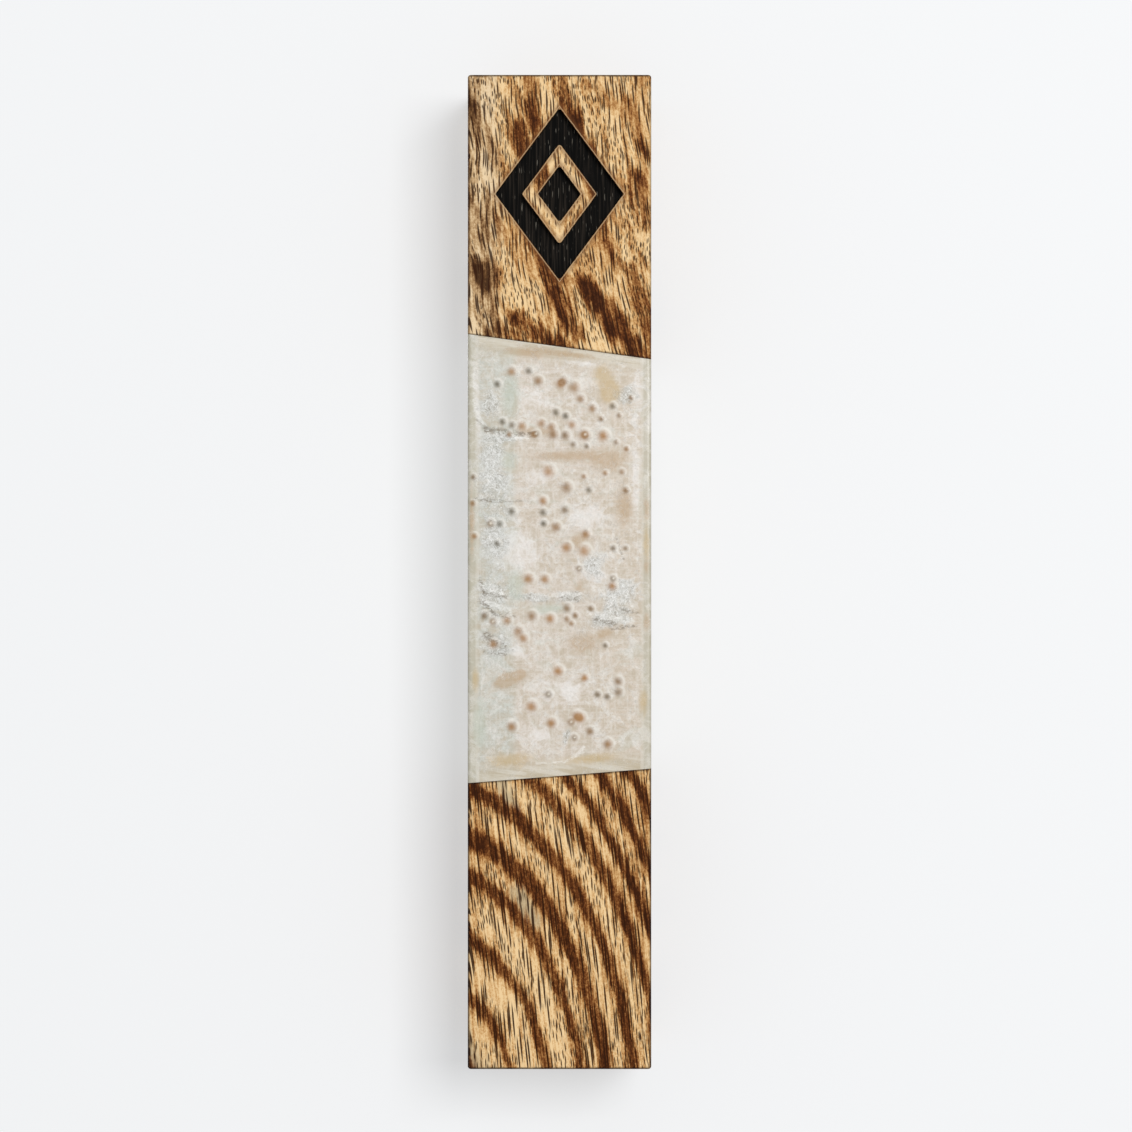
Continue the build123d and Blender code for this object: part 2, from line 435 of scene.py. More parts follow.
def lower_wood():
    """Pale wood crossed by bold dark bands: growth rings about an oval heart beyond the lower left corner."""
    b = Bench("lower_wood_oiled")
    heart_x, heart_z, squeeze = -19.0, -76.0, 0.6
    grain_lean = math.radians(6.0)
    bow = b.cloudy(0.06, 0.06, 0.05, detail=1.0) * 2.0
    across = b.x * math.cos(grain_lean) + b.z * math.sin(grain_lean) + bow
    along = b.z * math.cos(grain_lean) - b.x * math.sin(grain_lean)
    thread, pore, fleck = fibres(b, across, along, 0.115)

    wander = b.cloudy(0.13, 0.1, 0.13, detail=2.0) - 0.5
    ragged = b.noise(b.point(across * 1.8, b.y * 1.2, along * 0.22), detail=4.0, roughness=0.65) - 0.5
    rise = b.z - heart_z
    run = (b.x - heart_x) / squeeze
    depth = b.y - front_y
    radius = (run * run + rise * rise) ** 0.5 + depth * 0.5 + wander * 1.6 + ragged * 3.0
    core, glaze = None, None
    for ring_radius, half, strength in ring_bands:
        off = abs(radius - ring_radius)
        dark = b.ease(off, half * 0.3, half * 0.95, strength, 0.0)
        soft = b.ease(off, half * 0.6, half * 2.0, strength, 0.0)
        core = dark if core is None else b.maths("MAXIMUM", core, dark)
        glaze = soft if glaze is None else b.maths("MAXIMUM", glaze, soft)
    streaks = b.noise(b.point(across * 1.3, b.y, along * 0.08), detail=3.5, roughness=0.65)
    busy = b.ease(b.x + (b.z + 26.0) * 0.13 + ragged * 6.0, 3.2, 7.4)
    figure = (
        core * 0.5
        + glaze * 0.24
        + busy * b.ease(streaks, 0.4, 0.58, 0.0, 0.22)
        + b.ease(b.x, -6.0, -11.0, 0.0, 0.1)
        + (thread - 0.5) * 1.7
        + (fleck - 0.5) * 1.0
        + 0.04
    )
    wood = b.ramp(figure, *wood_tones)
    grey_corner = b.ease(b.x + b.z * 0.5 + ragged * 4.0, -43.6, -40.6, 1.0, 0.0)
    grey_top = stroke(b, b.x + ragged * 5.0, b.z, (-7.4, -27.6), (-6.4, -31.0), 1.0)
    grey_spot = stroke(b, b.x + ragged * 3.0, b.z, (-5.4, -41.8), (-3.4, -45.6), 0.9)
    grey = b.maths("MAXIMUM", b.maths("MAXIMUM", grey_corner, grey_spot), grey_top) * (1 - core)
    colour = b.layers(
        wood,
        (grey * 0.55, tone(158, 152, 128)),
        (pore * 0.96, tone(50, 22, 4)),
        (edge_darkening(b, -half_length, lower_seam, 0.8), tone(30, 18, 12)),
    )
    roughness = (thread - 0.5) * 0.2 + 0.5
    return b.finish(colour, roughness, thread * 0.6 - pore, 0.016, Specular_IOR_Level=0.05)


def slat_wood():
    """Straight-grained brown wood, sanded and oiled, with fine pores."""
    b = Bench("slat_wood_oiled")
    sway = b.cloudy(0.05, 0.05, 0.03, detail=2.0) * 3.0
    across = b.x + sway
    thread, pore, fleck = fibres(b, across, b.z, 0.16)
    rings = b.noise(b.point(across * 0.75, b.y * 0.4, b.z * 0.015), detail=3.5, roughness=0.6)
    figure = b.ease(rings, 0.36, 0.66, 0.1, 0.62) + (thread - 0.5) * 0.6 + (fleck - 0.5) * 0.35 + 0.05
    colour = b.layers(b.ramp(figure, *wood_tones), (pore * 0.5, tone(70, 42, 24)))
    return b.finish(colour, (thread - 0.5) * 0.2 + 0.55, thread * 0.5 - pore, 0.03, Specular_IOR_Level=0.2)


# ---------------------------------------------------------------- resin

# Round spots just under the resin's face, by kind: radius in millimetres, how ochre, and their x and z
spot_groups = {
    "broad": (0.74, 0.9, [
        (-6.2, 26.2), (2.0, 24.2), (5.8, 17.9), (-1.4, 13.1), (1.0, 11.1), (3.3, 17.9), (-3.6, -17.5),
        (2.3, -18.9), (2.9, -19.0), (-6.1, -20.1), (3.4, 2.8), (1.0, 3.2),
    ]),
    "round": (0.6, 0.75, [
        (-2.7, 25.0), (0.2, 24.6), (0.6, 25.0), (2.8, 22.6), (4.3, 21.5), (-4.8, 19.1), (-2.2, 19.5),
        (-1.0, 18.9), (-0.8, 18.0), (0.8, 17.9), (1.6, 19.3), (-2.1, 9.3), (-0.4, 5.9), (3.5, 5.0),
        (-4.0, -0.9), (-1.9, -0.9), (6.9, -1.8), (-3.6, -5.7), (-1.2, -6.0), (1.0, -4.6), (-6.7, -6.3),
        (-5.3, -7.7), (-4.8, -8.6), (-0.1, -12.9), (3.3, -13.8), (7.7, -14.3), (7.7, -15.6), (-1.0, -19.7),
        (4.1, -20.8), (6.4, -22.5), (-8.6, -9.4),
    ]),
    "grey": (0.52, 0.0, [
        (-8.0, 24.7), (-4.0, 26.3), (-0.4, 20.9), (0.9, 20.5), (-7.4, 19.7), (-6.1, 19.2), (-2.1, 7.8),
        (-2.0, 6.4), (0.8, 8.2), (-6.2, 8.0), (-7.8, 6.3), (-8.2, 3.8), (-9.8, -5.7), (5.0, -15.9),
        (6.3, -16.3), (7.0, 21.7), (3.9, 10.7),
    ]),
    "small": (0.42, 0.6, [
        (7.4, 17.0), (8.8, 16.1), (5.4, 20.0), (7.8, 20.5), (9.4, 22.7), (1.8, 16.7), (3.6, 16.5),
        (6.0, 12.9), (8.7, 10.7), (8.2, 13.1), (3.3, 12.5), (7.1, 3.1), (8.7, 3.1), (0.9, -6.1),
        (1.6, -6.7), (2.1, -5.6), (-11.1, 4.6), (-11.3, 9.0), (-11.2, 12.4), (4.2, -4.7), (-3.4, 18.0),
        (-6.6, 17.9), (6.0, -9.6),
    ]),
    "ringed": (0.5, 0.45, [
        (3.3, 17.95), (-3.1, 18.1), (-1.4, -15.9), (1.4, -19.6), (1.9, -21.6), (-8.7, -6.4), (2.6, 0.4),
        (7.1, -0.9), (-9.0, 6.4),
    ]),
}

# Clouds in the resin: centre x and z, half width, half height, turn in degrees. Where x is past the half
# width of the case, the rest of it is how far round on the side the cloud lies.
silver_clouds = [
    ((-9.2, 22.0), 1.5, 2.2, 0.0),
    ((-8.8, 15.8), 2.0, 2.0, 0.0),
    ((-8.6, 11.6), 2.4, 3.4, 0.0),
    ((-8.4, 4.4), 2.2, 4.2, 0.0),
    ((-8.4, -3.2), 2.4, 2.8, 0.0),
    ((-8.4, -9.6), 2.4, 2.2, -30.0),
    ((7.8, -3.0), 3.0, 2.6, 15.0),
    ((4.4, 0.8), 1.8, 1.8, -30.0),
    ((8.8, 23.0), 1.8, 1.4, 10.0),
    ((6.4, -6.2), 3.6, 1.3, 8.0),
    ((-3.0, -3.4), 2.4, 0.7, -6.0),
    ((1.6, -3.2), 2.6, 1.0, 0.0),
    ((1.0, -21.4), 0.6, 1.4, -20.0),
    ((-7.0, 17.6), 2.6, 0.6, -3.0),
]
milk_clouds = [
    ((-8.4, 13.4), 2.4, 4.0, 0.0),
    ((-7.4, 3.4), 3.0, 3.4, 0.0),
    ((7.6, -2.6), 3.0, 3.2, 10.0),
    ((3.5, 7.1), 2.6, 1.9, 15.0),
    ((3.4, 7.4), 1.5, 1.0, 0.0),
    ((-2.6, 12.4), 2.2, 1.4, 0.0),
    ((4.6, 0.4), 2.0, 2.4, -20.0),
    ((-4.4, 2.6), 2.6, 3.0, 0.0),
    ((0.8, -15.4), 3.6, 2.2, 0.0),
    ((9.9, 12.0), 0.7, 8.0, 0.0),
    ((10.2, 24.0), 0.9, 3.0, 0.0),
    ((-10.8, 22.0), 0.5, 5.4, 4.0),
    ((-2.6, -21.4), 3.2, 1.6, 0.0),
    ((-3.6, 22.4), 2.4, 2.0, 0.0),
    ((-5.6, -10.6), 1.6, 1.4, 0.0),
    ((3.6, 27.2), 3.0, 0.4, -8.0),
    ((14.4, 16.0), 1.8, 6.0, 12.0),
    ((19.0, 4.0), 2.2, 5.0, -10.0),
    ((15.0, -12.0), 2.0, 5.0, 8.0),
    ((24.0, 14.0), 2.4, 4.0, 14.0),
    ((23.0, -16.0), 2.8, 3.0, -10.0),
    ((-14.8, 12.0), 1.8, 6.0, -12.0),
    ((-20.0, -2.0), 2.4, 5.0, 10.0),
    ((-15.0, -18.0), 2.0, 4.0, -8.0),
    ((-25.0, 16.0), 2.4, 5.0, -14.0),
]
tan_clouds = [
    ((-6.4, -14.0), 2.6, 1.0, 20.0),
    ((-7.0, -14.2), 1.5, 0.9, 20.0),
    ((-5.0, -13.3), 0.8, 0.6, 30.0),
    ((6.0, -8.0), 1.6, 1.0, 15.0),
    ((11.4, 0.6), 0.7, 1.8, 0.0),
    ((11.4, -6.4), 0.7, 1.6, 0.0),
    ((11.4, 8.4), 0.6, 1.6, 0.0),
    ((2.6, 4.2), 2.4, 1.4, 25.0),
    ((2.6, -2.2), 1.2, 1.4, 0.0),
    ((1.6, 28.4), 4.4, 0.6, -8.0),
    ((-4.4, 28.6), 3.4, 0.8, -8.0),
    ((-3.0, 18.4), 3.0, 0.8, -4.0),
    ((6.4, 14.6), 3.4, 2.0, 0.0),
    ((0.0, 15.2), 5.0, 0.9, 0.0),
    ((8.6, 8.4), 1.6, 3.4, 0.0),
    ((3.0, -9.4), 2.6, 1.6, 0.0),
    ((-11.5, 6.0), 0.5, 6.0, 0.0),
    ((17.0, 20.0), 1.8, 4.0, 20.0),
    ((21.0, -6.0), 1.6, 5.0, -16.0),
    ((-17.0, 20.0), 1.6, 4.0, -18.0),
    ((-22.0, -12.0), 2.0, 5.0, 14.0),
]
gold_clouds = [
    ((5.4, 26.0), 1.4, 1.4, -10.0),
    ((6.6, 23.6), 1.7, 2.2, -14.0),
    ((6.5, 23.6), 1.0, 1.2, 0.0),
    ((-6.4, -24.6), 3.6, 1.4, 4.0),
    ((4.0, -24.4), 5.0, 0.9, 6.0),
    ((11.0, -17.0), 0.8, 2.4, 0.0),
    ((-11.0, -14.0), 0.7, 2.0, 0.0),
    ((11.4, 4.0), 0.6, 3.0, 0.0),
    ((17.0, -22.0), 4.0, 2.0, 6.0),
    ((-18.0, 4.0), 3.0, 3.0, 0.0),
]
green_clouds = [
    ((-6.4, 23.0), 1.6, 3.6, 0.0),
    ((-6.6, 14.4), 1.4, 2.0, 0.0),
    ((-5.6, -1.8), 1.6, 2.8, 0.0),
    ((-10.4, -20.0), 1.2, 4.0, 0.0),
    ((-1.4, -4.8), 3.4, 1.0, 0.0),
]

# Thin ragged seams in the resin, the dark ones and the pale: start, end, half width and strength
dark_seams = [
    ((-10.8, 19.8), (-9.4, 18.6), 0.24, 0.6),
    ((-9.6, 18.6), (-6.8, 18.2), 0.5, 1.0),
    ((-6.8, 18.1), (-3.0, 18.0), 0.4, 0.9),
    ((-11.2, 9.5), (-7.4, 9.2), 0.24, 0.9),
    ((-7.4, 9.2), (-3.6, 9.3), 0.18, 0.6),
    ((-10.4, -1.0), (-9.8, -3.0), 0.3, 0.8),
    ((-10.2, -3.8), (-8.4, -5.8), 0.5, 0.9),
    ((-9.4, -2.8), (-6.8, -3.4), 0.3, 0.7),
    ((-8.4, -5.6), (-6.0, -5.8), 0.34, 0.9),
    ((-9.6, -8.2), (-7.4, -9.8), 0.6, 0.9),
    ((-9.8, -10.4), (-7.0, -10.8), 0.3, 0.7),
    ((4.6, -6.2), (7.2, -6.8), 0.4, 0.8),
    ((6.8, -7.4), (10.0, -7.0), 0.3, 0.8),
    ((8.2, -5.0), (10.2, -5.4), 0.3, 0.7),
    ((0.0, -3.4), (2.4, -3.8), 0.3, 0.6),
    ((7.4, 4.4), (8.4, 1.6), 0.22, 0.7),
]
pale_seams = [
    ((-11.2, 26.6), (-11.2, 22.0), 0.24, 0.7),
    ((-11.2, 22.0), (-10.0, 19.4), 0.26, 0.8),
    ((-9.8, 18.0), (-4.0, 17.4), 0.22, 0.9),
    ((10.4, 16.0), (10.2, 6.0), 0.18, 0.5),
    ((-3.0, -25.0), (0.6, -24.8), 0.16, 0.7),
    ((0.6, -24.8), (2.2, -24.0), 0.22, 1.0),
    ((2.2, -24.0), (3.2, -22.9), 0.22, 1.0),
    ((6.4, -22.8), (8.0, -22.0), 0.2, 0.8),
    ((-10.2, -1.6), (-7.0, -3.2), 0.5, 0.8),
    ((-9.8, -4.0), (-6.6, -5.0), 0.5, 0.8),
    ((-9.8, -6.8), (-6.8, -6.4), 0.3, 0.8),
    ((-3.4, -3.2), (2.8, -2.8), 0.36, 0.7),
    ((4.6, -2.2), (9.4, -4.4), 0.6, 0.6),
    ((3.8, -5.4), (9.4, -6.4), 0.5, 0.8),
    ((6.6, 3.6), (8.2, 2.2), 0.22, 0.8),
    ((8.2, 2.2), (7.4, 0.4), 0.22, 0.8),
]


def spots():
    """Every spot as a row: x, z, radius, strength, ochre share and ring share, each a little uneven."""
    random = np.random.default_rng(7)
    rows = []
    for kind, (radius, ochre, places) in spot_groups.items():
        count = len(places)
        rows.append(np.column_stack([
            np.array(places) + random.normal(0, 0.05, (count, 2)),
            radius * random.uniform(0.88, 1.14, count),
            random.uniform(0.8, 1.0, count),
            np.clip(ochre + random.normal(-0.05, 0.22, count), 0, 1),
            np.full(count, float(kind == "ringed")),
        ]))
    return np.concatenate(rows)


def cloud_amount(x, z, clouds):
    """Soft ovals added up: each falls off as a bell of the distance in its own turned and stretched axes."""
    amount = np.zeros_like(x)
    for (middle_x, middle_z), half_x, half_z, turn in clouds:
        angle = math.radians(turn)
        along = (x - middle_x) * math.cos(angle) + (z - middle_z) * math.sin(angle)
        over = (z - middle_z) * math.cos(angle) - (x - middle_x) * math.sin(angle)
        amount += np.exp(-((along / half_x) ** 2 + (over / half_z) ** 2) * 1.2)
    return np.clip(amount, 0, 1)


def seam_amount(x, z, seams):
    """Thin lines: 1 on each line from start to end, falling off as a bell of the distance from it."""
    amount = np.zeros_like(x)
    for (x0, z0), (x1, z1), half, strength in seams:
        length_squared = (x1 - x0) ** 2 + (z1 - z0) ** 2
        share = np.clip(((x - x0) * (x1 - x0) + (z - z0) * (z1 - z0)) / length_squared, 0, 1)
        waver = 0.05 * np.sin(x * 2.3 + z * 3.1) + 0.04 * np.sin(x * 5.9 - z * 4.7)
        off = np.hypot(x - x0 - share * (x1 - x0), z - z0 - share * (z1 - z0) + waver)
        amount = np.maximum(amount, strength * np.exp(-((off / half) ** 2)))
    return amount


def resin_section():
    """The resin block's outline in x and y, taken from the frame's own corners, front face first.

    Straight runs are split at even steps and the four long edges are quarter circles. The front face gets
    the finest steps, because it carries the spots.
    """
    mesh = nodes["resin_block"].data
    corners = np.zeros(len(mesh.vertices) * 3)
    mesh.vertices.foreach_get("co", corners)
    corners = corners.reshape(-1, 3) / MM
    reach = np.abs(corners[:, 0])
    inner = corners[(reach < half_width - 2.0) & (corners[:, 1] > front_y + 1.0)]
    levels = np.unique(np.round(inner[:, 1], 3))
    floor_y, shoulder_y = levels[0], levels[levels > levels[0] + 1.0][0]
    def half_at(level):
        return np.abs(inner[np.abs(inner[:, 1] - level) < 0.01][:, 0]).max()
    channel, groove, mouth = half_at(floor_y), half_at(shoulder_y), half_at(back_y)
    edge = half_width - reach[np.abs(corners[:, 1] - front_y) < 0.01].max()

    def run(start, end, step):
        count = max(2, round(math.dist(start, end) / step) + 1)
        return np.linspace(start, end, count)[:-1]

    def corner(middle, start_angle):
        angle = np.radians(np.linspace(start_angle, start_angle + 90, 6)[:-1])
        return np.stack([middle[0] + edge * np.cos(angle), middle[1] + edge * np.sin(angle)], 1)

    flat = half_width - edge
    front_step, side_step = 0.15, 0.6
    outline = [
        run((-flat, front_y), (flat, front_y), front_step),
        corner((flat, front_y + edge), -90),
        run((half_width, front_y + edge), (half_width, back_y - edge), side_step),
        corner((flat, back_y - edge), 0),
        run((flat, back_y), (mouth, back_y), 2.0),
        run((mouth, back_y), (groove, shoulder_y), 1.4),
        run((groove, shoulder_y), (channel, shoulder_y), 2.0),
        run((channel, shoulder_y), (channel, floor_y), 3.0),
        run((channel, floor_y), (-channel, floor_y), 3.0),
        run((-channel, floor_y), (-channel, shoulder_y), 3.0),
        run((-channel, shoulder_y), (-groove, shoulder_y), 2.0),
        run((-groove, shoulder_y), (-mouth, back_y), 1.4),
        run((-mouth, back_y), (-flat, back_y), 2.0),
        corner((-flat, back_y - edge), 90),
        run((-half_width, back_y - edge), (-half_width, front_y + edge), side_step),
        corner((-flat, front_y + edge), 180),
    ]
    return np.concatenate(outline)


def piece(name, points, faces, body, material, smooth_below=35.0):
    """Makes a mesh piece of points in millimetres, which rides on a body and takes a material."""
    mesh = bpy.data.meshes.new(name)
    mesh.from_pydata((points * MM).tolist(), [], faces)
    mesh.update()
    mesh.shade_smooth()
    mesh.set_sharp_from_angle(angle=math.radians(smooth_below))
    made = bpy.data.objects.new(name, mesh)
    scene.collection.objects.link(made)
    mesh.materials.append(material)
    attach(made, body)
    return made


def tube_faces(around, rows):
    """Quads of a closed ring of points repeated in rows, with a cap at each end."""
    ring = np.arange(around)
    after = (ring + 1) % around
    row = np.arange(rows - 1)[:, None] * around
    quads = np.stack([row + ring, row + after, row + after + around, row + ring + around], -1)
    faces = quads.reshape(-1, 4).tolist()
    faces.append(ring[::-1].tolist())
    faces.append((ring + (rows - 1) * around).tolist())
    return faces


def thin_sheet(surface, thickness):
    """A closed shell from a grid of points: both sides stand off along the surface's own normals.

    The normal is the cross product of the grid's two directions, and a strip of quads closes the rim.
    """
    across, along = np.gradient(surface, axis=0), np.gradient(surface, axis=1)
    normal = np.cross(across, along)
    normal /= np.linalg.norm(normal, axis=2, keepdims=True)
    rows, columns = surface.shape[:2]
    count = rows * columns
    points = np.concatenate([
        (surface + normal * thickness / 2).reshape(-1, 3), (surface - normal * thickness / 2).reshape(-1, 3)
    ])
    index = np.arange(count).reshape(rows, columns)
    corners = [index[:-1, :-1], index[1:, :-1], index[1:, 1:], index[:-1, 1:]]
    front = np.stack(corners, -1).reshape(-1, 4)
    back = front[:, ::-1] + count
    loop = np.concatenate([index[:-1, 0], index[-1, :-1], index[:0:-1, -1], index[0, :0:-1]])
    following = np.roll(loop, -1)
    rim = np.stack([following, loop, loop + count, following + count], -1)
    return points, np.concatenate([front, back, rim]).tolist()


def resin_block(material):
    """The cast block: its outline carried up in fine rows from the lower glue line to the upper one.

    The front face is set in a little, so that each spot can stand proud of it as a low dome. A spot's colour
    is a bell of the distance from its middle, with painted shade on the side away from the light, and a pale
    arc of painted highlight rims the lit side. The mesh carries the amounts of every spot, cloud and seam for
    the finish to read.
    """
    section = resin_section()
    rows = 390
    low = np.interp(section[:, 0], (-half_width, half_width), lower_seam)
    high = np.interp(section[:, 0], (-half_width, half_width), upper_seam)
    share = np.linspace(0, 1, rows)[:, None]
    z = low + (high - low) * share
    x = np.broadcast_to(section[:, 0], z.shape)
    y = np.broadcast_to(section[:, 1], z.shape).copy()

    # The direction the light falls from across the front face: it sets the spots' painted shade and painted
    # highlight
    light_x, light_z = 0.75, 0.66
    domes, spot_stain_and_shade, painted_crescent_highlight, ochre, ring = np.zeros((5, *z.shape))
    for spot_x, spot_z, radius, strength, spot_ochre, ringed in spots():
        off_x, off_z = (x - spot_x) / radius, (z - spot_z) / radius
        off = np.hypot(off_x, off_z)
        lit = off_x * light_x + off_z * light_z
        # Each spot's colour, with painted shade on its side away from the light
        colour = strength * np.exp(-(off**2.2) * 1.3) * (1 - 0.3 * np.clip(lit, -1, 1))
        ochre += colour * spot_ochre
        spot_stain_and_shade += colour
        domes = np.maximum(domes, np.clip(1 - off**2, 0, 1) ** 1.5 * strength)
        # A painted highlight: a pale arc round each spot on its side towards the light
        towards_light = np.clip(lit / (off + 0.05) + 0.25, 0, 1)
        painted_crescent_highlight = np.maximum(painted_crescent_highlight, np.exp(-(((off - 1.22) / 0.3) ** 2)) * towards_light * strength)
        ring = np.maximum(ring, ringed * np.exp(-((off / 0.3) ** 2)))
    ochre = ochre / (spot_stain_and_shade + 0.02)
    spot_stain_and_shade = np.clip(spot_stain_and_shade, 0, 1)
    inset = 0.05
    border = half_width - 0.6
    front = (y < front_y + 0.01) & (np.abs(x) < border)
    y += inset * (y < front_y + 0.3)
    y -= np.where(front, domes * inset * 0.8, 0)
    points = np.stack([x, y, z], -1).reshape(-1, 3)
    made = piece("resin_casting", points, tube_faces(len(section), rows), "case", material)
    facing = np.where(y < front_y + 2.0, 1.0, 0.0)
    around = x + np.sign(x) * np.clip(y - front_y, 0, None) * (np.abs(x) > border)
    carried = {
        "spot_stain_and_shade": spot_stain_and_shade * facing,
        "ochre": ochre * facing,
        "painted_crescent_highlight": painted_crescent_highlight * facing,
        "ring": ring * facing,
        "silver": cloud_amount(around, z, silver_clouds),
        "milk": cloud_amount(around, z, milk_clouds),
        "tan": cloud_amount(around, z, tan_clouds),
        "gold": cloud_amount(around, z, gold_clouds),
        "green": cloud_amount(around, z, green_clouds),
        "dark_seam": seam_amount(x, z, dark_seams) * facing,
        "pale_seam": seam_amount(x, z, pale_seams) * facing,
    }
    for name, values in carried.items():
        attribute = made.data.attributes.new(name, "FLOAT", "POINT")
        attribute.data.foreach_set("value", values.astype(np.float32).ravel())
    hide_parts("resin_block")


def pearl_resin():
    """Cream cast resin with pearl dust in it: soft swirls, clearer yellow borders, spots, silver crinkles."""
    b = Bench("pearl_resin")
    spot_stain_and_shade, ochre, painted_crescent_highlight, ring = (b.attribute(name) for name in ("spot_stain_and_shade", "ochre", "painted_crescent_highlight", "ring"))
    silver, milk, tan = (b.attribute(name) for name in ("silver", "milk", "tan"))
    gold, green = (b.attribute(name) for name in ("gold", "green"))
    dark_seam, pale_seam = (b.attribute(name) for name in ("dark_seam", "pale_seam"))

    # Noises, from the broadest to the finest
    drift = b.cloudy(0.12, 0.12, 0.12, detail=3.0)
    swirl = b.noise(
        b.point(b.x * 0.22 + drift, b.y * 0.2, b.z * 0.4 + drift), detail=5.0, roughness=0.62, distortion=0.9
    )
    mist = b.cloudy(0.55, 0.5, 0.6, detail=6.0, roughness=0.7, distortion=0.7)
    mottle = b.cloudy(1.15, 1.15, 1.15, shift=8.0, detail=4.0, roughness=0.62, distortion=0.5)
    combed = b.cloudy(2.4, 2.4, 0.16, detail=3.0, roughness=0.6)
    brushed = b.cloudy(0.2, 0.2, 2.8, detail=3.0, roughness=0.6)
    hatch = b.maths("MAXIMUM", b.ease(combed, 0.5, 0.64), b.ease(brushed, 0.5, 0.64))
    shred = b.cloudy(1.5, 1.5, 3.4, detail=4.0, roughness=0.75, distortion=0.8)
    crinkle = b.cloudy(1.9, 1.9, 1.9, detail=5.0, roughness=0.8, distortion=1.6)
    fold = abs(b.cloudy(0.9, 1.0, 0.9, shift=17.0, detail=4.0, roughness=0.6, distortion=2.2) - 0.5)
    grit = b.cloudy(3.2, 3.2, 3.2, detail=2.0, roughness=0.7)

    # The clearer border that runs along the glue lines and up the long edges
    low_gap = b.z - seam_height(b, lower_seam)
    high_gap = seam_height(b, upper_seam) - b.z
    seam_gap = b.maths("MINIMUM", low_gap, high_gap)
    depth = b.maths("MINIMUM", b.y - front_y, back_y - b.y)
    side_gap = b.maths("MAXIMUM", half_width - abs(b.x), depth)
    clear_side = b.ease(side_gap + (drift - 0.5) * 0.8, 0.9, 1.7, 1.0, 0.0)
    clear_seam = b.ease(seam_gap + (swirl - 0.5) * 4.0, 0.6, 3.0, 1.0, 0.0)
    clear = b.maths("MAXIMUM", clear_side, clear_seam)
    along_seam = b.noise(
        b.point(b.x * 0.12, b.y * 0.3, high_gap * 1.5), detail=4.0, roughness=0.6, distortion=0.3
    )
    line = b.ease(abs(side_gap + (drift - 0.5) * 0.3 - 1.25), 0.12, 0.3, 1.0, 0.0)
    border = b.layers(
        b.blend(b.ease(along_seam, 0.4, 0.6), tone(190, 176, 148), tone(214, 206, 188)),
        (clear_side, b.blend(b.ease(mist, 0.42, 0.6), tone(188, 182, 162), tone(212, 207, 192))),
        (line * 0.5, tone(222, 216, 202)),
    )

    left = b.ease(b.x + (drift - 0.5) * 2.0, -5.4, -6.6)
    right = b.ease(b.x + (drift - 0.5) * 4.0, 3.0, 8.0)
    ground = b.layers(
        tone(217, 204, 190),
        (left, tone(200, 201, 191)),
        (right * 0.6, tone(212, 196, 176)),
        (b.ease(swirl, 0.46, 0.6) * 0.5, tone(198, 182, 158)),
        (b.ease(swirl, 0.46, 0.34) * 0.45, tone(205, 210, 198)),
        (b.ease(mist, 0.48, 0.64) * 0.62, tone(238, 233, 224)),
        (b.ease(mist, 0.52, 0.38) * 0.5, tone(190, 177, 154)),
        (b.ease(mottle, 0.5, 0.64) * 0.3, tone(238, 235, 228)),
        (b.ease(mottle, 0.48, 0.37) * 0.3, tone(186, 172, 148)),
        (hatch * 0.25, tone(236, 232, 224)),
        (b.ease(grit, 0.5, 0.68) * 0.34, tone(180, 167, 146)),
        (clear * 0.8, border),
    )

    def torn(cloud, raggedness, start=0.2, end=1.0):
        """A cloud's share, its rim torn by the mist."""
        return b.ease(cloud + (mist - 0.5) * raggedness, start, end)

    silver_share = torn(silver, 2.0, 0.15, 0.9)
    # The silver pigment's crinkled grey, with painted sparkle at its white end
    silver_with_sparkle = b.ramp(
        crinkle,
        (0.37, tone(118, 112, 100)),
        (0.46, tone(188, 189, 182)),
        (0.54, tone(210, 212, 208)),
        (0.61, tone(255, 255, 253)),
    )
    crease = b.ease(fold, 0.004, 0.035, 1.0, 0.0) * b.ease(mist, 0.44, 0.56)
    pale_line = b.ease(pale_seam, 0.05, 0.9) * b.ease(shred, 0.42, 0.6, 0.1, 1.0)
    dark_line = b.ease(dark_seam, 0.05, 0.9) * b.ease(shred, 0.56, 0.42)
    beside = b.ease(b.y, front_y + 0.5, front_y + 1.6)
    colour = b.layers(
        ground,
        (torn(tan * 0.95, 2.4) * 0.66, tone(184, 152, 110)),
        (torn(milk * 0.95, 2.8, 0.1, 1.2) * 0.64, tone(244, 240, 236)),
        (silver_share * 0.66, silver_with_sparkle),
        (torn(green, 1.0) * 0.5, tone(182, 192, 174)),
        (torn(gold, 1.6) * 0.62, tone(196, 166, 108)),
        (crease * 0.45, tone(242, 238, 228)),
        (pale_line * 0.62, tone(252, 250, 244)),
        (dark_line * 0.7, tone(112, 94, 70)),
        # The spots' painted highlight, then the spots themselves with their painted shade
        (painted_crescent_highlight * 0.8, tone(246, 242, 232)),
        (spot_stain_and_shade * 0.92, b.blend(ochre, tone(98, 88, 66), tone(170, 116, 48))),
        (ring * 0.9, tone(244, 238, 222)),
        (beside * 0.32, tone(252, 236, 208)),
    )
    roughness = (1 - silver_share) * 0.1 + 0.3 + (mist - 0.5) * 0.12
    height = crinkle * silver_share + mist * 0.5 - crease * 0.3 - dark_line * 0.4
    return b.finish(colour, roughness, height, 0.05, Coat_Weight=0.3, Coat_Roughness=0.2, IOR=1.5)


# ---------------------------------------------------------------- scroll, tape

